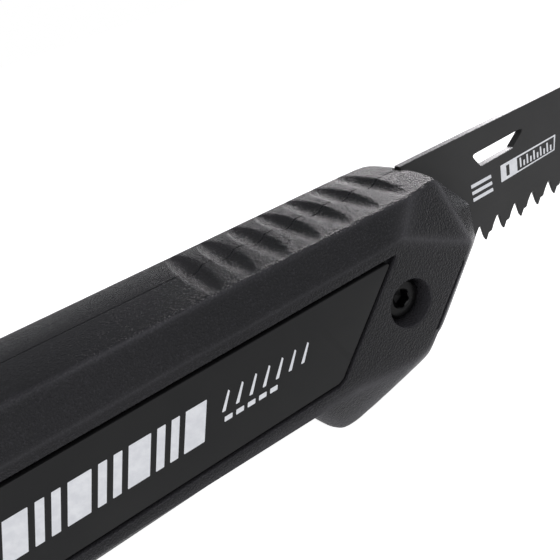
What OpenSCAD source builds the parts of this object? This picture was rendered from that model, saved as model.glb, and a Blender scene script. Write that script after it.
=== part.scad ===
// Jab saw for plasterboard: two moulded handle halves clamp a pointed blade.
// Frame: +X runs from the butt to the blade tip, +Z is up, the blade lies in Y = 0.
// The origin is the centre of the hanging hole.

/* [Handle] */
// Half the width of the handle, from the blade plane to the flat side
half_width = 13.5; // [12.8:0.1:15]
// Height of the top line at the screw, above the hanging hole
top_z = 15.2; // [15:0.1:16]
// Fall of the top line for each millimetre forward
top_slope = 0.019; // [0.01:0.001:0.02]
// Height of the line where the flat side ends above
shoulder_z = 9.45; // [9.2:0.05:9.8]
// Height of the line where the flat side ends below, at the screw
lower_z = -9.7; // [-10:0.1:-9.4]
// Rise of that line for each millimetre forward
lower_slope = 0.0124; // [0.008:0.0002:0.014]
// Depth of the rounded belly below the flat side
belly_h = 5.2; // [4.5:0.1:5.4]
// Radius of the nearly flat crown across the top
crown_r = 110; // [90:5:150]
// Half width of the crown
crown_w = 9.9; // [9:0.1:10.2]
// Radius of the top's edge, between the crown and the shoulder facet
crown_edge_r = 1.8; // [1:0.1:2]
// Fullness of the rounded belly
belly_fullness = 2.1; // [2:0.1:2.4]
// Gap between a half's joint face and the blade plane
joint_gap = 0.05; // [0.03:0.01:0.1]

/* [Thumb grip] */
// Number of valleys across the top
valley_count = 7; // [5:1:7]
// Distance from one valley to the next
valley_pitch = 5.86; // [5.6:0.02:6]
// Radius of a valley
valley_r = 2.5; // [2.2:0.1:2.8]
// Radius of a valley's floor across the handle
ring_r = 150; // [100:10:300]
// Depth of a valley
valley_depth = 0.95; // [0.7:0.05:1]
// Place of the foremost valley along the handle
valley_last_x = 128; // [127:0.1:129]

/* [Blade] */
// Length of the blade in front of the nose
blade_len = 152; // [140:1:160]
// Thickness of the blade
blade_t = 1.6; // [1.2:0.1:1.8]
// Distance from tooth to tooth
tooth_pitch = 5.11; // [4.8:0.01:5.5]
// Depth of a tooth
tooth_depth = 3.6; // [2.8:0.1:3.8]
// Height of the spine where the blade leaves the handle
spine_z = 15.4; // [14.8:0.1:15.5]
// Fall of the spine for each millimetre forward
spine_slope = 0.013; // [0:0.001:0.02]
// Rise of the toothed edge for each millimetre forward
edge_slope = 0.058; // [0.04:0.001:0.065]
// How far the blade can be drawn out of the handle
blade_travel = 60; // [55:1:80]

/* [Clamp screw] */
// Place of the screw along the handle
screw_x = 122; // [121:0.5:122]
// Height of the screw
screw_z = -2; // [-2.5:0.1:-1.5]
// Diameter of the screw's thread
screw_d = 4; // [4:0.1:4.2]
// Diameter of the screw's head
head_d = 7; // [6.6:0.1:7.2]
// Height of the screw's head
head_h = 4; // [3.6:0.1:4]
// Diameter of the hole that the head sits in
counterbore_d = 8.5; // [8.4:0.1:9]
// Depth of the head's face below the handle's side
head_sink = 2.6; // [2.2:0.1:3]

/* [Name plate] */
// Thickness of a name plate
plate_t = 1.2; // [1:0.1:1.4]
// Width of the groove around a name plate
plate_gap = 0.75; // [0.5:0.05:0.8]

/* [Hanging hole] */
// Diameter of the hanging hole
hang_d = 8; // [6:0.5:9]

/* [Hidden] */

shell_color = [0.16, 0.16, 0.17];
plate_color = [0.2, 0.2, 0.2];
blade_color = [0.3, 0.3, 0.3];
steel_color = [0.55, 0.56, 0.58];
black_steel = [0.12, 0.12, 0.12];

// The last full section of the handle, the nose's front plane and the butt
full_x = screw_x + 1.5;
nose_x = screw_x + 23.2;
butt_x = -9;
// Angle at which the rounded belly stops, which leaves a soft crease at the flat side
edge_end = 72;
edge_steps = 8;

// Tilt of the surface at the crown's edge and at the top of the shoulder facet
crown_tilt = asin(crown_w / crown_r);
crown_end = 62;
crown_steps = 4;

function top_at(x) = top_z - top_slope * (x - screw_x);
function crown_drop(y) = y * y / (2 * crown_r);
function lower_at(x) = lower_z + lower_slope * (x - screw_x);
// Superellipse quarter: 0 at the handle's centre line, 1 at the flat side
function edge_out(a, p) = pow(sin(a) / sin(edge_end), 2 / p);
function edge_in(a, p) = (pow(cos(a), 2 / p) - pow(cos(edge_end), 2 / p))
    / (1 - pow(cos(edge_end), 2 / p));
// Points [x, y, z] of a half section, from the top centre line round to the bottom one
function section(x, k = 1) = concat(
    [for (i = [0 : crown_steps]) let (y = crown_w * i / crown_steps)
        [x, -k * y, k * (top_at(x) - crown_drop(y))]],
    [for (i = [1 : crown_steps]) let (a = crown_tilt + (crown_end - crown_tilt) * i / crown_steps)
        [x, -k * (crown_w + crown_edge_r * (sin(a) - sin(crown_tilt))),
            k * (top_at(x) - crown_drop(crown_w)
                - crown_edge_r * (cos(crown_tilt) - cos(a)))]],
    [[x, -k * half_width, k * shoulder_z]],
    [for (i = [edge_steps : -1 : 0]) let (a = edge_end * i / edge_steps)
        [x, -k * half_width * edge_out(a, belly_fullness),
            k * (lower_at(x) - belly_h * edge_in(a, belly_fullness))]]);

// Corners of the faceted nose: the side's front corner and lower corner, the front
// land's upper and lower ends, and the front edge of the top
nose_side = [screw_x + 15, -half_width, 2.2];
side_heel = [screw_x + 2, -half_width, -12.8];
land_w = 5;
land_top = [[nose_x, -land_w, 4.5], [nose_x + 0.4, 0, 5.3]];
land_low = [[nose_x, -land_w, -3.1], [nose_x + 0.4, 0, -3.3]];
land_heel = [[nose_x - 9, -land_w, -13.5], [nose_x - 8.8, 0, -13.6]];
top_edge = [[screw_x + 13.3, 0, 14.95], [screw_x + 13.4, -6, 14.8],
    [screw_x + 12.8, -9.9, 14.35]];
nose_points = concat(top_edge, land_top, land_low, [nose_side],
    [for (p = section(screw_x + 9)) if (p[2] > top_at(p[0]) - 2.5) p]);
// The finger guard under the nose: outline on the side, then its keel
guard_x = screw_x - 16;
guard_points = [
    [guard_x - 7.3, -half_width, -9.6], [guard_x + 0.6, -half_width, -10.3],
    [guard_x + 7.2, -half_width, -12.1], [guard_x + 12.7, -half_width, -13.8],
    side_heel, nose_side,
    [guard_x - 7.3, 0, -9.6], [guard_x - 6.8, -11, -12.6], [guard_x - 6.8, 0, -12.6],
    [guard_x - 3.6, -11, -17.6], [guard_x - 3.6, 0, -18],
    [guard_x - 1.4, -11, -19.3], [guard_x - 1.4, 0, -19.9],
    [guard_x + 1.2, -11, -19.5], [guard_x + 1.2, 0, -20.2],
    [side_heel[0] + 0.9, -11, -15.5]];
// The heel under the butt, which keeps the hand from slipping off
butt_points = [
    [24, -half_width, -9], [10, -half_width, -11.2], [1, -half_width, -11.6],
    [24, 0, -14], [13, -8.5, -18.6], [13, 0, -19.2], [3, -8.5, -19.3], [3, 0, -19.8],
    [-4, -8.5, -17.6], [-4, 0, -18.2], [-7.5, -10.5, -6], [-8.5, 0, -6],
    [-1, -half_width, 0], [20, -half_width, 0]];

function face_of(points) = [[for (i = [0 : len(points) - 1]) i]];
module solid_of(points) {
    hull() polyhedron(points = points, faces = face_of(points));
}

// Outline of the name plate's pocket on the side, wide by the given margin
plate_rear_x = 22;
plate_top_z = 6.95;
plate_low_z = -8.1;
plate_tip_x = screw_x - 1.95;
plate_foot_x = screw_x - 15.6;
module plate_outline(margin) {
    offset(delta = margin) polygon([
        [plate_rear_x, plate_low_z + 2], [plate_rear_x + 2, plate_low_z],
        [plate_foot_x - 1.4, plate_low_z], [plate_foot_x - 0.3, plate_low_z + 0.5],
        [plate_tip_x, plate_top_z], [plate_rear_x + 2, plate_top_z],
        [plate_rear_x, plate_top_z - 2]]);
}

// Turns a drawing in X and Z into a block from y = low to y = high
module slab(low, high) {
    translate([0, high, 0]) rotate([90, 0, 0]) linear_extrude(high - low) children();
}

// Blade outlines in X and Z
tang_x = screw_x - 22;
tang_low = screw_z - 6;
tang_high = screw_z + 8;
shoulder_x = screw_x + 12.8;
slot_w = screw_d + 0.6;
first_tooth_x = nose_x + 1.4;
first_tip_z = -7.86;
tip_x = nose_x + blade_len;
function spine_at(x) = spine_z - spine_slope * (x - shoulder_x);
function tip_at(x) = first_tip_z + edge_slope * (x - first_tooth_x);
tooth_count = floor((blade_len - 5) / tooth_pitch);
point_x = first_tooth_x + tooth_count * tooth_pitch;
// One tooth from the gullet in front of it back to its flank: a steep side, a step, a short
// back, the tip and a hooked flank
function tooth(x) = let (z = tip_at(x), d = tooth_depth) [
    [x + tooth_pitch - 0.95, z + 1.05 * d], [x + 3.35, z + 0.94 * d],
    [x + 1.75, z + 0.35 * d], [x + 0.87, z + 0.34 * d], [x, z],
    [x - 0.48, z + 0.21 * d], [x - 0.72, z + 0.53 * d]];
module blade_outline() {
    polygon(concat(
        [[tang_x, tang_low], [tang_x, tang_high], [shoulder_x, tang_high],
            [shoulder_x, spine_at(shoulder_x)], [tip_x - 26, spine_at(tip_x - 26)],
            [tip_x - 12, spine_at(tip_x) - 2.6], [tip_x, tip_at(tip_x) + 1.6],
            [tip_x - 0.5, tip_at(tip_x) + 0.4], [point_x + 2, tip_at(point_x) + 0.2]],
        [for (i = [tooth_count - 1 : -1 : 0]) each tooth(first_tooth_x + i * tooth_pitch)],
        [[first_tooth_x - 0.9, first_tip_z + tooth_depth], [first_tooth_x - 3.5, tang_low]]));
}
window_low = 7.75;
window_high = 10.65;
module window_outline() {
    offset(r = 0.6, $fn = 24) offset(delta = -0.6) polygon([
        [nose_x + 6.2, window_high], [nose_x + 8.1, window_low],
        [nose_x + 16.7, window_low + 0.2], [nose_x + 20.8, window_high + 0.2]]);
}

// Screw places in X and Z, hidden under the left name plate
shell_screws = [[92, -1], [62, -1], [32, -1]];
shell_screw_d = 3;

module handle_half() {
    difference() {
        union() {
            solid_of(concat(section(butt_x, 0.72), section(butt_x + 3, 0.9),
                section(0, 1), section(full_x, 1), nose_points));
            solid_of(concat(guard_points, land_heel, land_low, land_top));
            solid_of(butt_points);
        }
        // Thumb grip: each valley is cut by a ring that runs out on the shoulder
        for (i = [0 : valley_count - 1]) {
            x = valley_last_x - i * valley_pitch;
            translate([x, 0, top_at(x) - valley_depth + ring_r]) rotate([0, 90, 0])
                rotate_extrude($fn = 180) translate([ring_r - valley_r, 0])
                    circle(r = valley_r, $fn = 48);
        }
        // Joint face, and the bed of the blade and its tang
        translate([butt_x - 5, -joint_gap, -30]) cube([nose_x - butt_x + 20, 5, 60]);
        bed = -blade_t / 2 - 0.08;
        slab(bed, 1) translate([tang_x - 1, tang_low - 0.3])
            square([nose_x - tang_x + 10, tang_high - tang_low + 0.6]);
        slab(bed, 1) translate([shoulder_x - 0.5, tang_low - 0.3]) square([30, 40]);
        // Hollows that keep the walls even
        for (span = [[14, 26], [38, 56], [68, 86]])
            slab(-half_width + 3.7, 1) hollow_outline(span[0], span[1]);
        // Pocket for the name plate
        slab(-half_width - 1, -half_width + plate_t + 0.1) plate_outline(plate_gap);
        // Slit behind the nose edge
        slab(-half_width - 1, -half_width + 0.8) slit_outline();
        translate([0, 1, 0]) rotate([90, 0, 0])
            cylinder(h = half_width + 2, d = hang_d, $fn = 96);
    }
}
module hollow_outline(x0, x1) {
    offset(r = 1.5, $fn = 24) offset(delta = -1.5)
        polygon([[x0, -11.5], [x1, -11.5], [x1, 11], [x0, 11]]);
}
module slit_outline() {
    polygon([[nose_side[0] - 2.4, nose_side[2] - 1.8], [nose_side[0] - 1.8, nose_side[2] - 1.9],
        [side_heel[0] + 0.3, side_heel[2] + 1], [side_heel[0] - 0.4, side_heel[2] + 1.1]]);
}

module right_shell() {
    color(shell_color) difference() {
        handle_half();
        translate([screw_x, 0, screw_z]) rotate([90, 0, 0]) {
            cylinder(h = half_width + 1, d = screw_d + 0.4, $fn = 64);
            translate([0, 0, half_width - head_sink - head_h - washer_t])
                cylinder(h = 10, d = counterbore_d, $fn = 96);
        }
        for (p = shell_screws)
            translate([p[0], 1, p[1]]) rotate([90, 0, 0])
                cylinder(h = 10, d = shell_screw_d, $fn = 48);
    }
}
module left_shell() {
    color(shell_color) difference() {
        mirror([0, 1, 0]) handle_half();
        translate([screw_x, 0, screw_z]) rotate([-90, 0, 0]) {
            cylinder(h = half_width + 1, d = screw_d + 0.4, $fn = 64);
            translate([0, 0, nut_y])
                rotate([0, 0, 30]) cylinder(h = 10, d = nut_af / cos(30) + 0.2, $fn = 6);
        }
        for (p = shell_screws)
            translate([p[0], -1, p[1]]) rotate([-90, 0, 0]) {
                cylinder(h = 16, d = shell_screw_d + 0.4, $fn = 48);
                translate([0, 0, 1 + screw_head_y]) cylinder(h = 10, d = 6.4, $fn = 48);
            }
    }
}
module name_plate() {
    slab(-half_width + 0.1, -half_width + plate_t + 0.1) plate_outline(0);
}
module right_name_plate() {
    color(plate_color) name_plate();
}
module left_name_plate() {
    color(plate_color) mirror([0, 1, 0]) name_plate();
}

module saw_blade() {
    color(blade_color) difference() {
        slab(-blade_t / 2, blade_t / 2) blade_outline();
        slab(-blade_t, blade_t) window_outline();
        slab(-blade_t, blade_t) translate([tang_x - 1, screw_z - slot_w / 2])
            square([screw_x - tang_x + 1, slot_w]);
        translate([screw_x, blade_t, screw_z]) rotate([90, 0, 0])
            cylinder(h = 2 * blade_t, d = slot_w, $fn = 64);
    }
}

washer_t = 0.8;
nut_y = 5.8;
nut_t = 3.2;
nut_af = 7;
head_y = half_width - head_sink - head_h;
module clamp_screw() {
    color(black_steel) translate([screw_x, 0, screw_z]) rotate([90, 0, 0]) difference() {
        union() {
            translate([0, 0, head_y]) cylinder(h = head_h, d = head_d, $fn = 96);
            translate([0, 0, -nut_y - nut_t - 0.5])
                cylinder(h = head_y + nut_y + nut_t + 0.6, d = screw_d, $fn = 64);
        }
        translate([0, 0, head_y + head_h - 2.2])
            cylinder(h = 3, d = 3 / cos(30), $fn = 6);
    }
}
module clamp_washer() {
    color(steel_color) translate([screw_x, 0, screw_z]) rotate([90, 0, 0])
        translate([0, 0, head_y - washer_t + 0.02]) difference() {
            cylinder(h = washer_t - 0.02, d = counterbore_d - 0.7, $fn = 96);
            translate([0, 0, -1]) cylinder(h = 3, d = screw_d + 0.3, $fn = 64);
        }
}
module clamp_nut() {
    color(steel_color) translate([screw_x, nut_y, screw_z]) rotate([-90, 0, 0]) difference() {
        rotate([0, 0, 30]) cylinder(h = nut_t, d = nut_af / cos(30), $fn = 6);
        translate([0, 0, -1]) cylinder(h = nut_t + 2, d = screw_d + 0.1, $fn = 64);
    }
}

// A self-tapping screw whose pan head sits under the left name plate
screw_head_y = half_width - plate_t - 0.1 - 3;
module shell_screw(p) {
    color(steel_color) translate([p[0], 0, p[1]]) rotate([-90, 0, 0]) difference() {
        union() {
            translate([0, 0, screw_head_y]) cylinder(h = 2.2, d = 6, $fn = 64);
            translate([0, 0, -7]) cylinder(h = screw_head_y + 7.1, d = shell_screw_d, $fn = 48);
            translate([0, 0, -8]) cylinder(h = 1, d1 = 1.2, d2 = shell_screw_d, $fn = 48);
        }
        for (turn = [0, 90]) rotate([0, 0, turn])
            translate([-1.7, -0.35, screw_head_y + 1]) cube([3.4, 0.7, 3]);
    }
}

right_shell();
left_shell();
right_name_plate();
left_name_plate();
saw_blade();
clamp_screw();
clamp_washer();
clamp_nut();
shell_screw(shell_screws[0]);  // shell_screw_front
shell_screw(shell_screws[1]);  // shell_screw_middle
shell_screw(shell_screws[2]);  // shell_screw_rear
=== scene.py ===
import itertools
import math

import bmesh
import bpy
import numpy as np
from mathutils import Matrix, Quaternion, Vector
from mathutils.geometry import delaunay_2d_cdt


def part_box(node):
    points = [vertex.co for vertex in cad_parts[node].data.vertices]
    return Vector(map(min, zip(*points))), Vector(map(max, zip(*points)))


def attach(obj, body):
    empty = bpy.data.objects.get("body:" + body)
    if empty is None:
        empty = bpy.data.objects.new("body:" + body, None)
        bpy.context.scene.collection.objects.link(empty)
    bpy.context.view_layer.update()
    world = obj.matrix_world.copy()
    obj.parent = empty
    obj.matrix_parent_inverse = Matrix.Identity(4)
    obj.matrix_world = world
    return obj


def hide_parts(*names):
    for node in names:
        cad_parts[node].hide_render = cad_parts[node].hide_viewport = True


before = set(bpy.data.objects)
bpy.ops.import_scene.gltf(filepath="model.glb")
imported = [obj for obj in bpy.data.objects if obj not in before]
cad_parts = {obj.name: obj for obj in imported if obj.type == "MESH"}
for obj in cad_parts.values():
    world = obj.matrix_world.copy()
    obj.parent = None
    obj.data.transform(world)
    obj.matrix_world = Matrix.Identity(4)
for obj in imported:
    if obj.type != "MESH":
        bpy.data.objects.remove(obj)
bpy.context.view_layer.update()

# ---------------------------------------------------------------------------
# Camera: it stands over the near side of the handle, looks forward and down
# along it to the nose, and leans so that the handle climbs to the right.
# Sizes in this file are millimetres; MM turns them into metres.
MM = 0.001


def corners_of(node):
    """The lowest and highest corner of a CAD node, in millimetres."""
    return [np.array(corner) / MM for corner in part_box(node)]


screw_low, screw_high = corners_of("clamp_screw")
screw_x, screw_z = (screw_low[0] + screw_high[0]) / 2, (screw_low[2] + screw_high[2]) / 2
shell_low = corners_of("right_shell")[0]
half_width = -shell_low[1]

eye = Vector((screw_x - 50.55, -half_width - 74.27, screw_z + 54.35))
look = Vector((0.333842, 0.836141, -0.435221))
lean = math.radians(18.915)
lens_f = 620 / 560 * 36

camera_data = bpy.data.cameras.new("camera")
camera_data.lens, camera_data.sensor_width = lens_f, 36
camera_data.clip_start, camera_data.clip_end = 0.01, 20
camera = bpy.data.objects.new("camera", camera_data)
bpy.context.scene.collection.objects.link(camera)
camera.rotation_mode = "QUATERNION"
camera.location = eye * MM
camera.rotation_quaternion = look.to_track_quat("-Z", "Y") @ Quaternion((0, 0, 1), -lean)
bpy.context.scene.camera = camera
bpy.context.scene.view_settings.view_transform = "Standard"


# ---------------------------------------------------------------------------
# Studio: a seamless white table and a white room, both set to light the saw less
# than they show, a broad lamp low behind the nose that rakes the thumb grip, and a
# weak one in front.
class Wire:
    """A shader socket to calculate with: an operator on it adds the Math node it needs."""

    def __init__(self, tree, socket=None):
        self.tree, self.socket = tree, socket

    def add(self, kind, settings=None, *values, out=0, **named):
        """Adds a node: its settings first, a ramp's as stops, then its inputs by place or name."""
        node = self.tree.nodes.new("ShaderNode" + kind)
        for key, value in (settings or {}).items():
            if key == "stops":
                ramp = node.color_ramp.elements
                while len(ramp) < len(value):
                    ramp.new(0.5)
                for stop, (place, tone) in zip(ramp, value):
                    stop.position, stop.color = place, (*([tone] * 3), 1)
            else:
                setattr(node, key, value)
        open_inputs = [s for s in node.inputs if s.enabled]
        pairs = list(zip(open_inputs, values))
        for name, value in named.items():
            name = name.replace("_", " ")
            pairs.append((next(s for s in open_inputs if s.name == name), value))
        for socket, value in pairs:
            if isinstance(value, Wire):
                self.tree.links.new(value.socket, socket)
            elif value is not None:
                socket.default_value = value
        open_outputs = [s for s in node.outputs if s.enabled]
        return Wire(self.tree, open_outputs[out] if open_outputs else None)

    def math(self, operation, *values):
        return self.add("Math", {"operation": operation}, *values)

    def __add__(self, other): return self.math("ADD", self, other)
    def __radd__(self, other): return self.math("ADD", other, self)
    def __sub__(self, other): return self.math("SUBTRACT", self, other)
    def __rsub__(self, other): return self.math("SUBTRACT", other, self)
    def __mul__(self, other): return self.math("MULTIPLY", self, other)
    def __rmul__(self, other): return self.math("MULTIPLY", other, self)

    def mix(self, first, second):
        """The colour first where this wire is 0 and second where it is 1."""
        return self.add("Mix", {"data_type": "RGBA"}, self, first, second)

    def ramp(self, low, high):
        """0 below low, 1 above high, smooth between."""
        return self.add("MapRange", {"interpolation_type": "SMOOTHSTEP"}, self, low, high, 0.0, 1.0)


def material_tree(name):
    """A new node material with only its output, as (material, wire to build with)."""
    material = bpy.data.materials.new(name)
    material.use_nodes = True
    material.node_tree.nodes.clear()
    return material, Wire(material.node_tree)


def close_material(wire, shader):
    output = wire.tree.nodes.new("ShaderNodeOutputMaterial")
    wire.tree.links.new(shader.socket, output.inputs["Surface"])


table_drop = 0.3
table_half = 6000
table_glow, table_dim = 0.93, 0.36
table_tone = (0.82, 0.82, 0.82, 1)
table_white, w = material_tree("table_white")
cloudy = w.add("TexNoise", None, None, 3.0, 2.0).ramp(0.3, 0.7)
seen = w.add("LightPath")
glow = w.add("Emission", None, (1, 1, 1, 1), seen * (table_glow - table_dim) + table_dim)
card = w.add("BsdfPrincipled", None, Base_Color=cloudy.mix(table_tone, (0.85, 0.85, 0.85, 1)),
             Roughness=0.9, Specular_IOR_Level=0.0)
close_material(w, w.add("AddShader", None, glow, card))
table_z = shell_low[2] - table_drop
table_mesh = bpy.data.meshes.new("table")
side = np.array([[-1, -1], [1, -1], [1, 1], [-1, 1]]) * table_half
table_mesh.from_pydata((np.c_[side, np.full(4, table_z)] * MM).tolist(), [], [[0, 1, 2, 3]])
table_mesh.materials.append(table_white)
table = bpy.data.objects.new("table", table_mesh)
bpy.context.scene.collection.objects.link(table)

room = bpy.data.worlds.new("room")
room.use_nodes = True
room.node_tree.nodes.clear()
bpy.context.scene.world = room
w = Wire(room.node_tree)
seen = w.add("LightPath")
wall = w.add("Background", None, (1, 1, 1, 1), 1.0)
toward = w.add("VectorMath", {"operation": "DOT_PRODUCT"}, w.add("TexCoord", out=0),
               (0.35, -0.9, 0.25))
light = w.add("Background", None, (0.95, 0.96, 1, 1), 0.24 + toward.ramp(-0.8, 0.9) * 0.36)
both = w.add("MixShader", None, seen, light, wall)
output = room.node_tree.nodes.new("ShaderNodeOutputWorld")
room.node_tree.links.new(both.socket, output.inputs["Surface"])


def lamp(name, place, target, width, height, watts, tone):
    """An area lamp of the given size at place, turned to face target; all in millimetres."""
    data = bpy.data.lights.new(name, "AREA")
    data.shape, data.size, data.size_y = "RECTANGLE", width * MM, height * MM
    data.energy, data.color = watts, tone
    thing = bpy.data.objects.new(name, data)
    bpy.context.scene.collection.objects.link(thing)
    thing.location = Vector(place) * MM
    thing.rotation_mode = "QUATERNION"
    thing.rotation_quaternion = (Vector(target) - Vector(place)).to_track_quat("-Z", "Y")


grip_at = (screw_x, 0, 15)
lamp("rim_lamp", (screw_x + 350, 355, 190), grip_at, 230, 130, 1.2, (1, 0.96, 0.98))
lamp("front_lamp", (screw_x - 250, -520, 420), grip_at, 500, 400, 0.8, (1, 1, 1))


# ---------------------------------------------------------------------------
# Handle halves: black glass-filled nylon, moulded against a spark-eroded steel
# tool that gives the fine grain. They meet on the blade plane with a hairline
# gap. The right half is the near one; the left half is its mirror image.
top_z, top_slope, shoulder_z, crown_r = 15.2, 0.019, 9.45, 110.0
ridge = np.array([10.9, -0.54])
lower_z, lower_slope, belly_h, belly_fullness = -9.7, 0.0124, 5.2, 2.1
edge_end = math.radians(72)
joint_gap, blade_bed, seam_gap = 0.05, 0.88, 0.004
joint_round = 0.18
bed_back, bed_low, bed_high, bed_open_x = 99.0, -8.3, 6.3, screw_x + 12.3
valley_count, valley_pitch, valley_r, ring_r = 7, 5.86, 2.5, 150.0
valley_depth, valley_last_x = 0.95, screw_x + 6
butt_x, butt_taper = shell_low[0], 0.28
nose_x = screw_x + 23.2

# Corners of the faceted nose as (x, distance from the blade plane, z)
nose_side = (screw_x + 15, half_width, 2.2)
side_heel = (screw_x + 2, half_width, -12.8)
land_top, land_top_mid = (nose_x, 5, 4.5), (nose_x + 0.4, 0, 5.3)
land_low, land_low_mid = (nose_x, 5, -3.1), (nose_x + 0.4, 0, -3.3)
land_heel, land_heel_mid = (nose_x - 9, 5, -13.5), (nose_x - 8.8, 0, -13.6)
top_mid = (screw_x + 13.3, 0, 14.95)
top_inner, top_outer = (screw_x + 13.4, 6, 14.8), (screw_x + 12.8, 9.9, 14.35)
shoulder_end = (screw_x + 1.5, half_width, 9.45)
guard_x = screw_x - 16
guard_corners = [
    (guard_x - 7.3, half_width, -9.6), (guard_x + 0.6, half_width, -10.3),
    (guard_x + 7.2, half_width, -12.1), (guard_x + 12.7, half_width, -13.8),
    side_heel, nose_side, (guard_x - 7.3, 0, -9.6),
    (guard_x - 6.8, 11, -12.6), (guard_x - 6.8, 0, -12.6),
    (guard_x - 3.6, 11, -17.6), (guard_x - 3.6, 0, -18),
    (guard_x - 1.4, 11, -19.3), (guard_x - 1.4, 0, -19.9),
    (guard_x + 1.2, 11, -19.5), (guard_x + 1.2, 0, -20.2),
    (side_heel[0] + 0.9, 11, -15.5), land_heel, land_heel_mid,
    land_low, land_low_mid, land_top, land_top_mid]
butt_corners = [
    (24, half_width, -9), (10, half_width, -11.2), (1, half_width, -11.6),
    (24, 0, -14), (13, 8.5, -18.6), (13, 0, -19.2), (3, 8.5, -19.3), (3, 0, -19.8),
    (-4, 8.5, -17.6), (-4, 0, -18.2), (-7.5, 10.5, -6), (-8.5, 0, -6),
    (-1, half_width, 0), (20, half_width, 0)]


def soft_max(fields, sharpness):
    """The largest of several fields with the corner rounded off: the log of the sum of their
    exponentials, each field times sharpness and the result divided by it."""
    fields = np.stack(np.broadcast_arrays(*fields))
    top = fields.max(0)
    return top + np.log(np.exp(sharpness * (fields - top)).sum(0)) / sharpness


def planes_around(corners):
    """The planes of the convex solid on some corners, as rows of outward normal and offset:
    a plane through three corners is one of them when no corner lies beyond it."""
    c = np.array(corners, float)
    i, j, k = np.array(list(itertools.combinations(range(len(c)), 3))).T
    normal = np.cross(c[j] - c[i], c[k] - c[i])
    size = np.linalg.norm(normal, axis=1)
    fine = size > 1e-6
    normal = normal[fine] / size[fine, None]
    offset = (normal * c[i[fine]]).sum(1)
    beyond = normal @ c.T - offset[:, None]
    outward = np.r_[np.c_[normal, offset][beyond.max(1) < 1e-6],
                    -np.c_[normal, offset][beyond.min(1) > -1e-6]]
    return np.unique(np.round(outward, 6), axis=0)


def hard_max(fields, sharpness):
    """The largest of several fields with its corner left sharp."""
    return np.stack(np.broadcast_arrays(*fields)).max(0)


def plane_field(p, planes, sharpness, smooth=soft_max):
    """How far points lie beyond the nearest planes, with rounded edges between the planes."""
    return smooth([p @ row[:3] - row[3] for row in planes], sharpness)


def facet(a, b, c):
    """The plane through three corners that faces away from the middle of the handle."""
    a, b, c = (np.array(q, float) for q in (a, b, c))
    normal = np.cross(b - a, c - a)
    normal /= np.linalg.norm(normal)
    if normal @ (a - np.array([screw_x - 10, 2, 0])) < 0:
        normal = -normal
    return np.r_[normal, normal @ a]


nose_roof = [facet(top_mid, top_inner, land_top_mid), facet(top_inner, top_outer, land_top),
             facet(top_outer, land_top, nose_side), facet(top_outer, nose_side, shoulder_end)]
nose_front = [facet(land_top, land_low, nose_side), facet(land_top, land_low, land_top_mid),
              facet(nose_side, side_heel, land_low), facet(land_low, land_heel, land_low_mid)]
guard_planes = planes_around(guard_corners)
butt_planes = planes_around(butt_corners)
joint_back = np.array([0, -1, 0, 0])
guard_planes = guard_planes[np.abs(guard_planes[:, :3] - joint_back[:3]).sum(1) > 0.01]
butt_planes = butt_planes[np.abs(butt_planes[:, :3] - joint_back[:3]).sum(1) > 0.01]


def rounded_edge(across, up, height, fullness):
    """How far a point lies beyond a superellipse quarter that starts at the blade plane and
    is cut off at edge_end, where it is half_width wide: (the power mean of across / width
    and up / height) - 1, times a typical radius. up is measured from the cut."""
    cut = math.cos(edge_end) ** (2 / fullness)
    wide = half_width / math.sin(edge_end) ** (2 / fullness)
    tall = height / (1 - cut)
    u = np.abs(across) / wide
    v = np.maximum(up + tall * cut, 0) / tall
    return ((u ** fullness + v ** fullness) ** (1 / fullness) - 1) * 12


def handle_field(p, smooth=soft_max):
    """Negative inside a half and positive outside, roughly in millimetres: the long body with
    its crowned top, shoulder facets and rounded belly, the nose's facets, the guard and heel,
    less the valleys. The shoulder facet runs from the ridge down to the flat side."""
    x, h, z = p[..., 0], p[..., 1], p[..., 2]
    shrink = 1 - butt_taper * np.clip(-x / 9, 0, 1) ** 2.5
    hs, zs = h / shrink, z / shrink
    top = top_z - top_slope * (x - screw_x)
    low = lower_z + lower_slope * (x - screw_x)
    fall = np.hypot(half_width - ridge[0], top + ridge[1] - shoulder_z)
    shoulder = ((hs - half_width) * (top + ridge[1] - shoulder_z)
                + (zs - shoulder_z) * (half_width - ridge[0])) / fall
    crown = smooth([zs - top + hs ** 2 / (2 * crown_r), shoulder], 3.8)
    body = smooth([crown, rounded_edge(hs, low - zs, belly_h, belly_fullness),
                   hs - half_width], 12)
    body = smooth([body, plane_field(p, nose_roof, 3.2, smooth),
                   plane_field(p, nose_front, 6, smooth), butt_x - x], 5)
    solid = np.minimum(body, np.minimum(plane_field(p, guard_planes, 4, smooth),
                                        plane_field(p, butt_planes, 2.2, smooth)))
    place = (valley_last_x - x) / valley_pitch
    nearest = np.clip(np.round(place), 0, valley_count - 1)
    along = x - valley_last_x + nearest * valley_pitch
    ring_z = top_z - top_slope * (x - along - screw_x) - valley_depth + ring_r
    around = np.hypot(h, z - ring_z) - ring_r + valley_r
    return smooth([solid, valley_r - np.hypot(along, around)], 18)


def leave_solid(start, aim, reach=32.0):
    """How far along its direction each ray from inside leaves the handle: the stretch between
    a point inside and one outside is halved until it is a hair long."""
    near, far = np.zeros(start.shape[:-1]), np.full(start.shape[:-1], reach)
    for _ in range(22):
        middle = (near + far) / 2
        out = handle_field(start + middle[..., None] * aim) > 0
        near, far = np.where(out, near, middle), np.where(out, middle, far)
    return near


def in_bed(x, z):
    """1 where the joint face is sunk to hold the blade and its tang, else 0."""
    tang = (x > bed_back) & (z > bed_low) & (z < bed_high)
    return (tang | ((x > bed_open_x - 0.02) & (z > bed_low))).astype(float)


def steps(*stops):
    """Numbers from stop to stop: steps(a, n, b, m, c) has n even steps to b, then m to c."""
    parts = [np.linspace(a, b, n, endpoint=False)
             for a, n, b in zip(stops[:-2:2], stops[1::2], stops[2::2])]
    return np.r_[tuple(parts + [stops[-1:]])]


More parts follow.
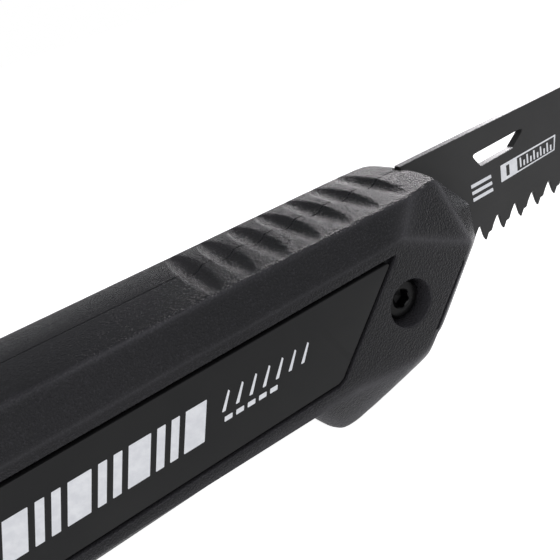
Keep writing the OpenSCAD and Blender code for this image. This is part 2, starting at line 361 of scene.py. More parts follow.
def cells(rows, cols, keep=None):
    """The quads of a grid numbered row by row; keep says which cells stay."""
    n = np.arange(rows * cols).reshape(rows, cols)
    quads = np.stack([n[:-1, :-1], n[:-1, 1:], n[1:, 1:], n[1:, :-1]], -1)
    return (quads.reshape(-1, 4) if keep is None else quads[keep]).tolist()


def inside(points, loop):
    """Which points lie inside a closed outline: a ray to the right crosses it an odd number
    of times."""
    a, b = loop, np.roll(loop, -1, 0)
    x, z = points[:, :1], points[:, 1:2]
    spans = (a[:, 1] > z) != (b[:, 1] > z)
    with np.errstate(divide="ignore", invalid="ignore"):
        cross = a[:, 0] + (z - a[:, 1]) * (b[:, 0] - a[:, 0]) / (b[:, 1] - a[:, 1])
    return (spans & (x < cross)).sum(1) % 2 == 1


def outward(loop):
    """The mitred outward step of 1 mm at each point of an outline that runs anticlockwise."""
    def normal(d):
        d = d / np.linalg.norm(d, axis=1, keepdims=True)
        return np.c_[d[:, 1], -d[:, 0]]
    before = normal(loop - np.roll(loop, 1, 0))
    after = normal(np.roll(loop, -1, 0) - loop)
    return (before + after) / np.maximum(1 + (before * after).sum(1, keepdims=True), 0.35)


def rounded(corners, radius, step=0.5):
    """An anticlockwise outline with its corners rounded by arcs and points step apart. A
    corner's arc starts radius / tan(half its angle) from it."""
    c = np.array(corners, float)
    area = (c[:, 0] * np.roll(c[:, 1], -1) - c[:, 1] * np.roll(c[:, 0], -1)).sum()
    c = c if area > 0 else c[::-1]
    path = []
    for i, corner in enumerate(c):
        u, v = c[i - 1] - corner, c[(i + 1) % len(c)] - corner
        lu, lv = np.linalg.norm(u), np.linalg.norm(v)
        u, v = u / lu, v / lv
        half = math.acos(np.clip(u @ v, -1, 1)) / 2
        back = min(radius / math.tan(half), 0.45 * lu, 0.45 * lv)
        t = np.linspace(0, 1, 7)[:, None]
        path.append((1 - t) ** 2 * (corner + back * u) + 2 * t * (1 - t) * corner
                    + t ** 2 * (corner + back * v))
    path = np.concatenate(path)
    ends = np.roll(path, -1, 0)
    counts = np.maximum(np.ceil(np.linalg.norm(ends - path, axis=1) / step).astype(int), 1)
    which = np.repeat(np.arange(len(path)), counts)
    share = (np.arange(len(which)) - np.repeat(np.cumsum(counts) - counts, counts)) / counts[which]
    return path[which] + share[:, None] * (ends - path)[which]


def circle(x, z, radius, count=96):
    """An anticlockwise circle."""
    t = np.arange(count) * 2 * math.pi / count
    return np.c_[x + radius * np.cos(t), z + radius * np.sin(t)]


def fill(points, edges, keep):
    """Triangles between points that hold the given edges, where keep(centres) is true."""
    out = delaunay_2d_cdt([Vector(p) for p in points], edges.tolist(), [], 0, 1e-7)
    source = np.array([ids[0] if ids else -1 for ids in out[3]])
    triangles = source[np.array(out[2])]
    triangles = triangles[(triangles >= 0).all(1)]
    good = keep(points[triangles].mean(1))
    return triangles[good]


def ring_edges(start, count):
    """The edges of a closed outline of count points numbered from start."""
    n = np.arange(count)
    return np.c_[n, (n + 1) % count] + start


class Form:
    """Points and faces gathered for one mesh, joined where they meet."""

    def __init__(self):
        self.points, self.faces, self.tags, self.count = [], [], [], 0

    def add(self, points, faces, tag=0):
        points = np.asarray(points, float).reshape(-1, 3)
        self.points.append(points)
        self.faces += (np.asarray(faces) + self.count).tolist() if len(faces) else []
        self.tags += np.broadcast_to(tag, len(faces)).tolist()
        self.count += len(points)

    def carry(self, loop, profile, tag=0):
        """Carries a profile around an outline in X and Z: each (offset outwards, depth h)
        makes a ring, and rings are joined to the next. A depth may be one number per point,
        and so may the tag. A third value moves the ring's points in X and Z. A hole's profile
        runs inwards, a rim's runs outwards."""
        flat = [loop + d * outward(loop) + sum(move) for d, h, *move in profile]
        rings = [np.c_[f[:, 0], np.broadcast_to(h[1], len(loop)), f[:, 1]]
                 for f, h in zip(flat, profile)]
        n = np.arange(len(rings) * len(loop)).reshape(len(rings), -1)
        n = np.c_[n, n[:, :1]]
        quads = np.stack([n[:-1, :-1], n[:-1, 1:], n[1:, 1:], n[1:, :-1]], -1).reshape(-1, 4)
        self.add(np.concatenate(rings), quads,
                 np.tile(tag, len(rings) - 1) if np.ndim(tag) else tag)
        return [ring[:, [0, 2]] for ring in rings]

    def cap(self, loops, h, face_out=True):
        """Closes the area inside the first loop and outside the others at depth h."""
        points = np.concatenate(loops)
        starts = np.cumsum([0] + [len(q) for q in loops[:-1]])
        edges = np.concatenate([ring_edges(s, len(q)) for s, q in zip(starts, loops)])

        def keep(c):
            hit = inside(c, loops[0])
            for hole in loops[1:]:
                hit &= ~inside(c, hole)
            return hit
        triangles = fill(points, edges, keep)
        triangles = triangles if face_out else triangles[:, ::-1]
        self.add(np.c_[points[:, 0], np.full(len(points), float(h)), points[:, 1]], triangles)

    def make(self, name, material, body, node, mirror=False, smooth=40):
        """The finished piece in metres: right of the blade plane, or left of it if mirrored.
        Edges sharper than smooth degrees stay crisp."""
        p = np.concatenate(self.points) * MM
        p[:, 1] *= 1 if mirror else -1
        faces = [f[::-1] for f in self.faces] if mirror else self.faces
        data = bpy.data.meshes.new(name)
        data.from_pydata(p.tolist(), [], faces)
        # Tagged faces get a face attribute: bare steel on the blade, which its material also paints
        # near white as a painted reflection
        if any(self.tags):
            data.attributes.new("bare", "FLOAT", "FACE").data.foreach_set(
                "value", np.array(self.tags, np.float32))
        build = bmesh.new()
        build.from_mesh(data)
        bmesh.ops.remove_doubles(build, verts=build.verts, dist=1e-6)
        bmesh.ops.dissolve_degenerate(build, edges=build.edges, dist=1e-7)
        build.to_mesh(data)
        build.free()
        data.materials.append(material)
        data.shade_smooth()
        data.set_sharp_from_angle(angle=math.radians(smooth))
        thing = bpy.data.objects.new(name, data)
        bpy.context.scene.collection.objects.link(thing)
        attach(thing, body)
        if node:
            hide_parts(node)
        return thing


# Rays leave a rectangle inside the half: up, round the shoulder, out through the side,
# round the belly and down; at each end they turn to point along the handle.
core_h, core_top, core_low = 7.0, 8.6, -9.5
turn = np.radians(steps(0, 24, 90))[1:-1]
up_h = np.array([0, 0.02, 0.05, 0.09, 0.13, 0.2, 0.4, 0.7, 1.1, 1.6, 2.2, 2.9, 3.6, 4.3,
                 5.0, 5.7, 6.3, core_h - joint_gap])
side_z = steps(core_top, 36, core_low)
column_h = np.r_[up_h + joint_gap, np.full(len(turn), core_h), np.full(len(side_z), core_h),
                 np.full(len(turn), core_h), up_h[::-1] + joint_gap]
column_z = np.r_[np.full(len(up_h), core_top), np.full(len(turn), core_top), side_z,
                 np.full(len(turn), core_low), np.full(len(up_h), core_low)]
none, ones = np.zeros(len(up_h)), np.ones(len(up_h))
aim_h = np.r_[none, np.sin(turn), np.ones(len(side_z)), np.cos(turn), none]
aim_z = np.r_[ones, np.cos(turn), np.zeros(len(side_z)), -np.sin(turn), -ones]
grip_x = valley_last_x - (valley_count - 0.5) * valley_pitch
row_x = steps(-4, 35, 24, 60, grip_x, 128, screw_x + 12.2)
row_x = np.r_[row_x, bed_open_x]
tilt = np.radians(steps(-90, 16, 0))
tilt_front = np.radians(steps(0, 40, 90))[1:]
close_in = steps(0, 7, 1)[:-1]
close_out = steps(1, 10, 0)[1:]
row_tilt = np.r_[np.full(len(close_in), tilt[0]), tilt[:-1], np.zeros(len(row_x)), tilt_front,
                 np.full(len(close_out), tilt_front[-1])]
row_at = np.r_[np.full(len(close_in) + len(tilt) - 1, row_x[0]), row_x,
               np.full(len(tilt_front) + len(close_out), row_x[-1])]
row_size = np.r_[close_in, np.ones(len(row_at) - len(close_in) - len(close_out)), close_out]
first_line = len(close_in) + len(tilt) - 1
lines = slice(first_line, first_line + len(row_x))
pole_z = 0.6


def outer_skin(sink):
    """The outer surface as rows along the handle and columns from the top joint edge round to
    the bottom one. sink is how far each row's and column's joint edge lies from the plane."""
    shape = (len(row_at), len(column_h))
    share = (core_h - sink) / (core_h - joint_gap)
    h = sink + (column_h[None, :] - joint_gap) * share
    size = row_size[:, None]
    start = np.stack([np.broadcast_to(row_at[:, None], shape), sink + (h - sink) * size,
                      pole_z + (column_z[None, :] - pole_z) * size], -1)
    c, s = np.cos(row_tilt)[:, None], np.sin(row_tilt)[:, None]
    aim = np.stack([np.broadcast_to(s, shape), aim_h[None, :] * c, aim_z[None, :] * c], -1)
    reach = leave_solid(start, aim)
    close = np.clip(joint_round - (start[..., 1] - sink), 0, joint_round)
    reach = reach - (joint_round - np.sqrt(joint_round ** 2 - close ** 2)) * (aim_h < 0.01)[None, :]
    return start + reach[..., None] * aim


sink = np.full((len(row_at), len(column_h)), joint_gap)
skin = outer_skin(sink)
halfway = len(column_h) // 2
for edge, part in ((0, slice(0, halfway)), (-1, slice(halfway, None))):
    at = skin[:, edge]
    sink[:, part] = (joint_gap + (blade_bed - joint_gap) * in_bed(at[:, 0], at[:, 2]))[:, None]
sink[len(row_at) - len(close_out):] = blade_bed
skin = outer_skin(sink)


def side_at(points):
    """Distance of the handle's side from the blade plane at points in X and Z."""
    start = np.c_[points[:, 0], np.full(len(points), core_h), points[:, 1]]
    return core_h + leave_solid(start, np.broadcast_to([0.0, 1.0, 0.0], start.shape))


def openings(form, xs, zs, holes, depth, face_out=True):
    """Cuts rims into a flat grid of cells: drops the cells near the outlines and fills the
    space between what is left and each outline. Returns which cells stay."""
    cx, cz = (xs[:-1] + xs[1:]) / 2, (zs[:-1] + zs[1:]) / 2
    centres = np.stack(np.meshgrid(cx, cz, indexing="ij"), -1).reshape(-1, 2)
    keep = np.ones(len(centres), bool)
    for loop, rim in holes:
        grown = loop + outward(loop) * (rim + 0.62)
        keep &= ~inside(centres, grown)
    keep = keep.reshape(len(cx), len(cz))
    n = np.arange(len(xs) * len(zs)).reshape(len(xs), len(zs))
    gone = np.pad(~keep, 1)
    across = gone[1:-1, 1:] != gone[1:-1, :-1]
    along = gone[1:, 1:-1] != gone[:-1, 1:-1]
    edges = np.r_[np.stack([n[:-1], n[1:]], -1)[across], np.stack([n[:, :-1], n[:, 1:]], -1)[along]]
    used, edges = np.unique(edges, return_inverse=True)
    edges = edges.reshape(-1, 2)
    points = np.stack(np.meshgrid(xs, zs, indexing="ij"), -1).reshape(-1, 2)[used]
    rims = []
    for loop, rim in holes:
        outer = loop + outward(loop) * rim
        edges = np.r_[edges, ring_edges(len(points), len(outer))]
        points = np.r_[points, outer]
        rims.append(outer)

    def between(c):
        i = np.clip(np.searchsorted(xs, c[:, 0]) - 1, 0, len(cx) - 1)
        j = np.clip(np.searchsorted(-zs, -c[:, 1]) - 1, 0, len(cz) - 1)
        hit = ~keep[i, j]
        for rim in rims:
            hit &= ~inside(c, rim)
        return hit
    triangles = fill(points, edges, between)
    heights = depth(points)
    form.add(np.c_[points[:, 0], heights, points[:, 1]],
             triangles if face_out else triangles[:, ::-1])
    return keep


def rim_profile(loop, radius, wall):
    """A rounded rim from the side down to depth wall below it."""
    angles = np.radians([0, 22.5, 45, 67.5, 90])
    start = side_at(loop + outward(loop) * radius)
    return [(radius * (1 - math.sin(a)), start - radius * (1 - math.cos(a))) for a in angles] + [
        (0, wall)]


plate_t, plate_drop, plate_gap = 1.2, 0.1, 0.75
plate_corners = np.array([
    [22, -6.1], [24, -8.1], [screw_x - 17, -8.1], [screw_x - 15.9, -7.6],
    [screw_x - 1.95, 6.95], [24, 6.95], [22, 4.95]])
plate_loop = rounded(plate_corners, 0.5, 0.5)
pocket_loop = rounded(plate_corners + outward(plate_corners) * plate_gap, 0.35, 0.5)
slit_loop = rounded([[nose_side[0] - 2.4, nose_side[2] - 1.8],
                     [nose_side[0] - 1.8, nose_side[2] - 1.9],
                     [side_heel[0] + 0.3, side_heel[2] + 1],
                     [side_heel[0] - 0.4, side_heel[2] + 1.1]], 0.22, 0.3)
hang_r, bore_r, shank_hole_r, nut_hole_r = 4, 4.25, 2.2, 4.1
hang_loop = circle(0, 0, hang_r)
bore_loop = circle(screw_x, screw_z, bore_r)
shank_loop = circle(screw_x, screw_z, shank_hole_r, 48)
nut_loop = rounded([[screw_x + nut_hole_r * math.cos(math.radians(60 * k + 30)),
                     screw_z + nut_hole_r * math.sin(math.radians(60 * k + 30))]
                    for k in range(6)], 0.2, 0.4)
pocket_floor = half_width - plate_t - plate_drop
slit_floor = half_width - 0.8
bore_floor, nut_floor = 6.1, 5.8
screw_places = [(92, -1), (62, -1), (32, -1)]
screw_dent_r, screw_dent_floor = 3.2, 9.2


def handle_half(name, node, mirror):
    """One half as a closed skin with its pocket, slit, holes, joint face and blade bed."""
    form = Form()
    holes = [(pocket_loop, 0.22), (slit_loop, 0.12), (hang_loop, 0.5),
             (nut_loop if mirror else bore_loop, 0.28)]
    first = len(up_h) + len(turn)
    keep = openings(form, row_x, side_z, holes, side_at)
    stay = np.ones((len(row_at) - 1, len(column_h) - 1), bool)
    stay[first_line:first_line + len(row_x) - 1, first:first + len(side_z) - 1] = keep
    form.add(skin, cells(len(row_at), len(column_h), stay))
    for loop, rim in holes:
        if loop is pocket_loop:
            form.carry(loop, rim_profile(loop, rim, pocket_floor))
            dents = [circle(x, z, screw_dent_r, 48) for x, z in screw_places] if mirror else []
            form.cap([loop] + dents, pocket_floor)
            for dent in dents:
                form.carry(dent, [(0, pocket_floor), (0, screw_dent_floor)])
                form.cap([dent], screw_dent_floor)
        elif loop is slit_loop:
            form.carry(loop, rim_profile(loop, rim, slit_floor))
            form.cap([loop], slit_floor)
        elif loop is hang_loop:
            form.carry(loop, rim_profile(loop, rim, seam_gap))
        else:
            floor = nut_floor if mirror else bore_floor
            form.carry(loop, rim_profile(loop, rim, floor))
            form.cap([loop, shank_loop], floor)
            form.carry(shank_loop, [(0, floor), (0, blade_bed)])
    # Joint face: each row runs from its top edge down to its bottom edge; behind the edges
    # the halves touch, so no light comes through the joint
    middle_z = steps(bed_high + 0.02, 1, bed_high - 0.02, 14, bed_low + 0.02, 1, bed_low - 0.02)
    top, low = skin[:, 0], skin[:, -1]
    t = np.linspace(0, 1, len(middle_z) + 2)
    face = top[:, None] + (low - top)[:, None] * t[None, :, None]
    face[lines, 1:-1, 2] = middle_z
    face[lines, 1:-1, 0] = row_x[:, None]
    face[:, 1:-1, 1] = seam_gap + (blade_bed - seam_gap) * in_bed(face[:, 1:-1, 0],
                                                                face[:, 1:-1, 2])
    keep = openings(form, row_x, middle_z, [(hang_loop, 0), (shank_loop, 0)],
                    lambda q: seam_gap + (blade_bed - seam_gap) * in_bed(q[:, 0], q[:, 1]), False)
    stay = np.ones((len(row_at) - 1, len(t) - 1), bool)
    stay[first_line:first_line + len(row_x) - 1, 1:-1] = keep
    form.add(face, [q[::-1] for q in cells(len(row_at), len(t), stay)])
    thing = form.make(name, nylon, "handle", node, mirror, 50)
    # Painted highlight: the colour is lightened along the rounded edges and creases, by how much the
    # rounding took off the sharp edge at each point
    points = np.empty(3 * len(thing.data.vertices))
    thing.data.vertices.foreach_get("co", points)
    points = np.abs(points.reshape(-1, 3) / MM * (0, 1, 0)) + points.reshape(-1, 3) / MM * (1, 0, 1)
    gone = -handle_field(points, hard_max)
    edge_highlight_share = np.where((gone < 0.35) & (points[:, 1] > 0.7), np.clip(gone / 0.16, 0, 1), 0)
    thing.data.attributes.new("wear", "FLOAT", "POINT").data.foreach_set("value", edge_highlight_share)


nylon, w = material_tree("grained_black_nylon")
place = w.add("TexCoord", out=3)
grain = w.add("TexNoise", None, place, 3500.0, 2.0, 0.6)
specks = w.add("TexVoronoi", None, place, 2600.0)
drift = w.add("TexNoise", None, place, 42.0, 4.0, 0.6)
# Share of the painted edge highlight, read from the mesh and varied by noise
wear = w.add("Attribute", {"attribute_name": "wear"}, out=2) * (0.35 + drift)
tone = drift.ramp(0.3, 0.72).mix((0.0075, 0.0075, 0.0087, 1), (0.0115, 0.011, 0.013, 1))
tone = (grain.ramp(0.52, 0.72) * 0.5).mix(tone, (0.036, 0.034, 0.041, 1))
# Painted edge highlight: lighter grey along the rounded edges and creases, more where the grain is
# light
tone = (wear * (0.5 + grain) * 0.8).mix(tone, (0.075, 0.073, 0.08, 1))
relief = grain * 0.8 + specks * 0.4
normal = w.add("Bump", None, Strength=0.95, Distance=0.00025, Height=relief)
plastic = w.add("BsdfPrincipled", None, Base_Color=tone, Normal=normal,
                Roughness=0.13 + drift * 0.08 + grain * 0.05 - wear * 0.03, Specular_IOR_Level=0.26)
close_material(w, plastic)

handle_half("right_shell_skin", "right_shell", False)
handle_half("left_shell_skin", "left_shell", True)


# ---------------------------------------------------------------------------
# Name plates: smooth satin polycarbonate strips, set just below the sides inside
# a black groove. Their edges are broken by a small radius.
plate_round = 0.16
plate_top = half_width - plate_drop
satin, w = material_tree("satin_plate")
place = w.add("TexCoord", out=3)
brushed = w.add("TexNoise", None, w.add("Mapping", None, place, None, None, (180.0, 900.0, 2600.0)),
                1.0, 3.0, 0.6)
smear = w.add("TexNoise", None, place, 60.0, 3.0, 0.55)
fine = w.add("TexNoise", None, place, 5200.0, 2.0, 0.5)
tone = smear.ramp(0.3, 0.75).mix((0.0105, 0.0105, 0.011, 1), (0.0145, 0.0145, 0.0145, 1))
normal = w.add("Bump", None, Strength=0.22, Distance=0.00003, Height=fine + brushed * 0.5)
close_material(w, w.add("BsdfPrincipled", None, Base_Color=tone, Normal=normal,
                        Roughness=0.34 + smear * 0.12, Specular_IOR_Level=0.26))


def name_plate(name, node, mirror):
    """A plate: its outline carried up its wall and over the rounded edge, closed by two caps."""
    form = Form()
    angles = np.radians([0, 22.5, 45, 67.5, 90])
    rings = form.carry(plate_loop, [(-0.1, pocket_floor), (0, pocket_floor + 0.1)] + [
        (plate_round * (math.cos(a) - 1), plate_top - plate_round * (1 - math.sin(a)))
        for a in angles])
    form.cap([rings[-1]], plate_top)
    form.cap([rings[0]], pocket_floor, False)
    form.make(name, satin, "handle", node, mirror, 50)


name_plate("right_plate", "right_name_plate", False)
name_plate("left_plate", "left_name_plate", True)

# ---------------------------------------------------------------------------
# Plate marks: a band of slanted bars, a row of thin strokes and a row of dashes in
# white ink, screen printed a few hundredths of a millimetre thick.
ink_t = 0.03
ink, w = material_tree("white_ink")
place = w.add("TexCoord", out=3)
mottle = w.add("TexNoise", None, place, 700.0, 3.0, 0.6)
tone = mottle.ramp(0.3, 0.8).mix((0.80, 0.81, 0.84, 1), (0.92, 0.93, 0.95, 1))
normal = w.add("Bump", None, Strength=0.2, Distance=0.00002, Height=mottle)
close_material(w, w.add("BsdfPrincipled", None, Base_Color=tone, Roughness=0.5 + mottle * 0.15,
                        Specular_IOR_Level=0.3, Normal=normal))


def print_marks(form, outlines, h, holes=()):
    """Each outline as a thin layer of ink on a surface at depth h."""
    for corners in outlines:
        loop = rounded(corners, 0.12, 2.0)
        cut = [rounded(c, 0.1, 2.0) for c in holes if inside(np.array(c)[:1], loop)[0]]
        form.carry(loop, [(0, h - 0.01), (0, h + ink_t)])
        for hole in cut:
            form.carry(hole, [(0, h + ink_t), (0, h - 0.01)])
        form.cap([loop] + cut, h + ink_t)
        form.cap([loop] + cut, h - 0.01, False)


band_low, band_high, band_end, italic = -3.6, 2.5, screw_x - 40.2, 0.459


def bar(x, wide, low, high, slant):
    """A slanted bar whose lower left corner is at x."""
    rise = (high - low) * slant
    return [(x, low), (x + wide, low), (x + wide + rise, high), (x + rise, high)]


bar_widths = [3.4, 1.3, 1.3] * 7
bar_gap = 0.95
bar_x = band_end - np.cumsum(np.array(bar_widths) + bar_gap) + bar_gap
bars = [bar(x, wide, band_low, band_high, italic) for x, wide in zip(bar_x, bar_widths)]
bars = [b for b in bars if b[0][0] > 25]
stroke_count, stroke_run, stroke_rise, stroke_wide = 7, 2.35, 2.6, 0.62
stroke_x, stroke_low = screw_x - 36.2, -0.85
strokes = []
for k in range(stroke_count):
    x = stroke_x + stroke_run * k
    strokes.append([(x, stroke_low), (x + stroke_wide, stroke_low),
                    (x + stroke_run, stroke_low + stroke_rise),
                    (x + stroke_run - stroke_wide * 0.2, stroke_low + stroke_rise + 0.35)])
dashes = [bar(screw_x - 36.4 + 2.0 * k, 1.35, -2.5, -1.75, italic) for k in range(5)]
for name, mirror in (("right_plate_marks", False), ("left_plate_marks", True)):
    form = Form()
    print_marks(form, bars + strokes + dashes, plate_top)
    form.make(name, ink, "handle", None, mirror, 30)

# ---------------------------------------------------------------------------
# Blade: 1.6 mm spring steel, punched with a hooked, stepped tooth line and a
# window, coated black, with the spine left bare where it was sheared. The up-facing
# spine and the window's sill are painted near white as a painted reflection of the
# bright room, darker near the handle.
blade_low, blade_high = corners_of("saw_blade")
blade_t = blade_high[1] - blade_low[1]
tip_x, tang_x = blade_high[0], blade_low[0]
blade_edge, tooth_land, grind = 0.07, 0.35, (0.7, 1.4)
shoulder_x, spine_z, spine_slope = screw_x + 12.8, 15.4, 0.013
first_tooth_x, first_tip_z, edge_slope = nose_x + 1.4, -7.86, 0.058
tooth_pitch, tooth_depth = 5.11, 3.6
teeth = math.floor((tip_x - nose_x - 5) / tooth_pitch)
slot_r, tang_low, tang_high = 2.3, screw_z - 6, screw_z + 8


def spine_at(x):
    return spine_z - spine_slope * (x - shoulder_x)


def tips_at(x):
    return first_tip_z + edge_slope * (x - first_tooth_x)


# One tooth back from the gullet in front of it: a steep side, a step, a short back, the
# tip and a hooked flank, as (forward of the tip, share of the depth)
tooth_shape = np.array([[tooth_pitch - 0.72, 0.93], [tooth_pitch - 0.95, 1.05],
                        [3.7, 1.04], [3.35, 0.94], [2.6, 0.7], [1.9, 0.4], [1.7, 0.35], [0.95, 0.33],
                        [0.8, 0.28], [0.08, 0.0], [-0.06, 0.0], [-0.48, 0.21], [-0.66, 0.45]])
tooth_x = first_tooth_x + tooth_pitch * np.arange(teeth)[::-1]
tooth_line = tooth_x[:, None, None] * [1, 0] + tooth_shape[None] * [1, tooth_depth]
tooth_line[..., 1] += tips_at(tooth_x)[:, None]
point_x = first_tooth_x + teeth * tooth_pitch
half_turn = np.radians(np.linspace(-90, 90, 25))
slot_end = np.c_[screw_x + slot_r * np.cos(half_turn), screw_z + slot_r * np.sin(half_turn)]
blade_loop = np.concatenate([
    [[tang_x, screw_z + slot_r], [tang_x, tang_high], [shoulder_x, tang_high],
     [shoulder_x, spine_at(shoulder_x)], [tip_x - 26, spine_at(tip_x - 26)],
     [tip_x - 18, spine_at(tip_x) - 0.7], [tip_x - 12, spine_at(tip_x) - 2.6],
     [tip_x, tips_at(tip_x) + 1.6], [tip_x - 0.5, tips_at(tip_x) + 0.4],
     [point_x + 2, tips_at(point_x) + 0.2]],
    tooth_line.reshape(-1, 2),
    [[first_tooth_x - 0.9, first_tip_z + tooth_depth], [first_tooth_x - 3.5, tang_low],
     [tang_x, tang_low], [tang_x, screw_z - slot_r]], slot_end])[::-1]
window_loop = rounded([(nose_x + 6.2, 10.65), (nose_x + 8.1, 7.75), (nose_x + 16.7, 7.95),
                       (nose_x + 20.8, 10.85)], 0.6, 0.6)
# The up-facing spine and the window's sill are tagged: bare steel, painted near white there as a
# painted reflection of the bright room
middle = (blade_loop + np.roll(blade_loop, -1, 0)) / 2
on_spine = (middle[:, 1] > spine_at(middle[:, 0]) - 0.05) & (middle[:, 0] > shoulder_x)
middle = (window_loop + np.roll(window_loop, -1, 0)) / 2
on_sill = middle[:, 1] < 8.2

coated, w = material_tree("black_coated_steel")
place = w.add("TexCoord", out=3)
bare = w.add("Attribute", {"attribute_name": "bare"}, out=2)
along = w.add("SeparateXYZ", None, place)
rolled = w.add("TexNoise", None, w.add("Mapping", None, place, None, None, (260.0, 900.0, 2400.0)),
               1.0, 3.0, 0.6)
cloud = w.add("TexNoise", None, place, 55.0, 3.0, 0.55)
shear = w.add("TexNoise", None, w.add("Mapping", None, place, None, None, (3800.0, 1500.0, 900.0)),
              1.0, 2.0, 0.6)
paint = cloud.ramp(0.3, 0.75).mix((0.027, 0.0268, 0.0265, 1), (0.034, 0.0337, 0.0335, 1))
away_from_handle = along.ramp((shoulder_x + 4) * MM, (shoulder_x + 34) * MM)
torn = shear.ramp(0.4, 0.6) * (1.0 - away_from_handle)
# Painted reflection: tagged faces are painted near white (0.85) and half metallic away from the
# handle, darker grey (0.2) near it
steel = torn.mix(away_from_handle.mix((0.2, 0.2, 0.205, 1), (0.85, 0.85, 0.85, 1)), (0.07, 0.068, 0.075, 1))
normal = w.add("Bump", None, Strength=0.3, Distance=0.00003, Height=rolled * 0.6 + shear * bare)
close_material(w, w.add("BsdfPrincipled", None, Base_Color=bare.mix(paint, steel),
                        Metallic=bare * away_from_handle * 0.5, Roughness=0.42 + bare * 0.1 + rolled * 0.1,
                        Specular_IOR_Level=0.28, Normal=normal))

form = Form()
half_t = blade_t / 2
edge = [(-blade_edge, -half_t), (0, blade_edge - half_t), (0, half_t - blade_edge),
        (-blade_edge, half_t)]
# The teeth are ground from the far side: there the outline is moved up and forward
toothed = ((blade_loop[:, 1] < tips_at(blade_loop[:, 0]) + 1.1 * tooth_depth)
           & (blade_loop[:, 0] > first_tooth_x - 0.8) & (blade_loop[:, 0] < point_x + 0.2))
ground = toothed[:, None] * np.array(grind)
edge_out = [(*edge[0], ground), (*edge[1], ground), (0, half_t - tooth_land), *edge[2:]]
outer = form.carry(blade_loop, edge_out, on_spine.astype(float))
inner = form.carry(window_loop, [(-d, h) for d, h in edge[::-1]], on_sill.astype(float))
form.cap([outer[-1], inner[0]], half_t)
form.cap([outer[0], inner[-1]], -half_t, False)
form.make("blade", coated, "blade", "saw_blade", False, 20)

# ---------------------------------------------------------------------------
# Blade marks: three plain level bars of one length and a framed rule, printed in
# white on the near side of the blade.
stripe_x, stripe_run, stripe_h, stripe_step = nose_x + 4.8, 5.4, 0.7, 1.4
stripes = [bar(stripe_x, stripe_run, low, low + stripe_h, 0)
           for low in 1.6 + stripe_step * np.arange(3)]
frame_corners = [(nose_x + 12.6, 2.35), (nose_x + 28.2, 2.85), (nose_x + 28.9, 6.0),
                 (nose_x + 12.95, 5.75)]
panes = [[(nose_x + 17.25, 2.78), (nose_x + 27.95, 3.1), (nose_x + 28.45, 5.68),
          (nose_x + 17.5, 5.48)],
         [(nose_x + 14.2, 3.0), (nose_x + 15.1, 3.02), (nose_x + 15.3, 5.2),
          (nose_x + 14.4, 5.18)]]
ticks = [[(nose_x + x, 3.25), (nose_x + x + 0.42, 3.26), (nose_x + x + 0.55, top),
          (nose_x + x + 0.13, top)]
         for x, top in zip(np.arange(18.1, 27.5, 0.98), [5.2, 4.4] * 5)]
form = Form()
print_marks(form, [frame_corners], half_t, panes)
print_marks(form, ticks + stripes, half_t)
form.make("blade_marks", ink, "blade", None, False, 30)


# ---------------------------------------------------------------------------
# Clamp screw: a black-oxide cap screw with a knurled head and a hex socket. It
# squeezes the halves on the blade through a washer, into a nut on the far side.
round_angle = np.arange(96) * 2 * math.pi / 96


def turned(form, x, z, radius, h):
    """A turned surface: ring k has radius[k] and depth h[k], each a number or one number for
    each of the angles, around an axis along Y through x and z."""
    count = len(round_angle)
    rows = [(np.broadcast_to(r, count), np.broadcast_to(d, count)) for r, d in zip(radius, h)]
    points = np.stack([np.c_[x + r * np.cos(round_angle), d, z + r * np.sin(round_angle)]
                       for r, d in rows])
    n = np.arange(len(rows) * count).reshape(len(rows), -1)
    n = np.c_[n, n[:, :1]]
    form.add(points, np.stack([n[:-1, :-1], n[:-1, 1:], n[1:, 1:], n[1:, :-1]], -1).reshape(-1, 4))


def polygon_radius(flats, sides=6):
    """Radius towards each angle of a regular polygon with the given width across flats."""
    sector = 2 * math.pi / sides
    return flats / 2 / np.cos((round_angle + sector / 2) % sector - sector / 2)


def thread(core, depth, pitch, low, high, rise):
    """Rings of a screw thread: the radius is core plus a rounded tooth of the given depth,
    whose phase runs once along the pitch and once round the axis."""
    levels = np.arange(low, high, rise)
    phase = levels[:, None] / pitch - round_angle[None, :] / (2 * math.pi)
    tooth = np.abs((phase % 1) * 2 - 1)
    return list(core + depth * tooth), list(levels)


black_steel, w = material_tree("black_oxide_steel")
place = w.add("TexCoord", out=3)
fine = w.add("TexNoise", None, place, 3200.0, 3.0, 0.6)
cloud = w.add("TexNoise", None, place, 260.0, 3.0, 0.6)
tone = cloud.ramp(0.35, 0.75).mix((0.002, 0.002, 0.0022, 1), (0.005, 0.0048, 0.0048, 1))
normal = w.add("Bump", None, Strength=0.3, Distance=0.00003, Height=fine)
close_material(w, w.add("BsdfPrincipled", None, Base_Color=tone, Metallic=0.1 + cloud * 0.2,
                        Roughness=0.22 + fine * 0.14, Specular_IOR_Level=0.3, Normal=normal))

head_top, tail = -screw_low[1], -screw_high[1]
head_r, head_h, shank_r, socket_flats, socket_depth = 3.5, 4.0, 2.0, 3.0, 2.2
head_foot = head_top - head_h
knurl = head_r - 0.05 + 0.05 * np.cos(32 * round_angle)
socket = polygon_radius(socket_flats)
form = Form()
r, h = thread(1.72, 0.27, 0.7, tail + 0.5, 3.2, 0.07)
radius = [0, 1.35, 1.7, *r, shank_r, shank_r, 2.2, 3.2, head_r - 0.12]
depth = [tail, tail, tail + 0.4, *h, 3.4, head_foot - 0.15, head_foot, head_foot, head_foot + 0.05]
radius += [knurl, knurl, head_r - 0.04, head_r - 0.14, head_r - 0.3, head_r - 0.5, 2.1]
depth += [head_foot + 0.25, head_top - 0.7, head_top - 0.4, head_top - 0.15, head_top - 0.04,
          head_top, head_top]
radius += [1.85, np.maximum(socket, 1.66), socket, socket * 0.995, socket * 0.5, 0]
depth += [head_top - 0.03, head_top - 0.17, head_top - 0.3, head_top - socket_depth,
          head_top - socket_depth - 0.25, head_top - socket_depth - 0.45]
turned(form, screw_x, screw_z, radius, depth)
form.make("clamp_cap_screw", black_steel, "clamp", "clamp_screw", False, 35)

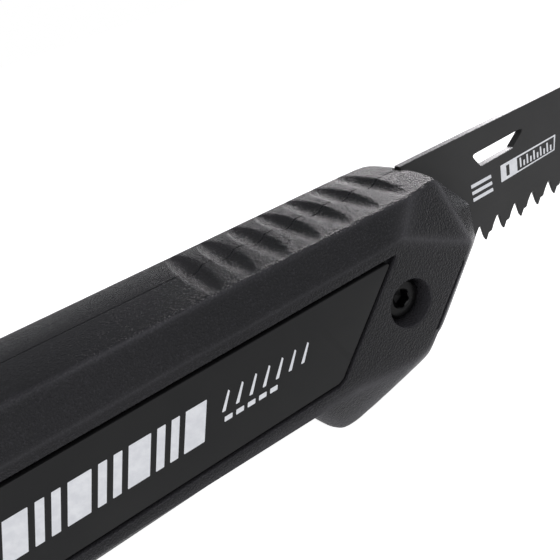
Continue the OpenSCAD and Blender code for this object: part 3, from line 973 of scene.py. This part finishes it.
# ---------------------------------------------------------------------------
# Washer, nut and shell screws: zinc-plated steel. The washer spreads the head's
# load, the nut sits in a hex pocket of the left half, and three self-tapping
# screws under the left plate hold the halves together.
zinc, w = material_tree("zinc_plated_steel")
place = w.add("TexCoord", out=3)
fine = w.add("TexNoise", None, place, 2800.0, 3.0, 0.6)
cloud = w.add("TexNoise", None, place, 300.0, 3.0, 0.6)
tone = cloud.ramp(0.35, 0.75).mix((0.42, 0.43, 0.45, 1), (0.56, 0.56, 0.57, 1))
normal = w.add("Bump", None, Strength=0.25, Distance=0.00003, Height=fine)
close_material(w, w.add("BsdfPrincipled", None, Base_Color=tone, Metallic=1.0,
                        Roughness=0.3 + cloud * 0.16, Normal=normal))

washer_low, washer_high = corners_of("clamp_washer")
foot, top = -washer_high[1], -washer_low[1]
washer_r = (washer_high[0] - washer_low[0]) / 2
form = Form()
turned(form, screw_x, screw_z,
       [2.25, washer_r - 0.12, washer_r, washer_r, washer_r - 0.12, 2.25, 2.15, 2.15, 2.25],
       [foot, foot, foot + 0.12, top - 0.12, top, top, top - 0.1, foot + 0.1, foot])
form.make("screw_washer", zinc, "clamp", "clamp_washer", False, 35)

nut_low, nut_high = corners_of("clamp_nut")
foot, top = nut_low[1], nut_high[1]
hexagon = np.roll(polygon_radius(7.0), 8)
form = Form()
r, h = thread(2.03, 0.2, 0.7, foot + 0.3, top - 0.25, 0.07)
turned(form, screw_x, screw_z,
       [2.4, 3.45, np.minimum(hexagon, 3.8), hexagon, hexagon, np.minimum(hexagon, 3.8), 3.45,
        2.4, *r[::-1], 2.4],
       [foot, foot, foot + 0.2, foot + 0.5, top - 0.5, top - 0.2, top, top, *h[::-1], foot])
form.make("screw_nut", zinc, "handle", "clamp_nut", True, 35)

for name, (x, z) in zip(("front", "middle", "rear"), screw_places):
    low, high = corners_of("shell_screw_" + name)
    tail, top = low[1], high[1]
    foot = top - 2.2
    cross = 0.42 + 1.15 * np.abs(np.cos(2 * round_angle)) ** 8
    form = Form()
    r, h = thread(1.12, 0.37, 1.3, tail + 1.0, foot - 1.2, 0.12)
    turned(form, x, z,
           [0, 0.3, 1.1, *r, 1.4, 1.4, 2.7, 2.95, 3.0, 2.9, 2.6, 2.1, cross + 0.05, cross,
            cross * 0.8, 0],
           [tail, tail, tail + 0.9, *h, foot - 1.0, foot, foot, foot + 0.1, foot + 0.7,
            foot + 1.3, foot + 1.8, top - 0.05, top, top - 0.05, top - 1.1, top - 1.3])
    form.make("self_tapper_" + name, zinc, "handle", "shell_screw_" + name,
              True, 35)
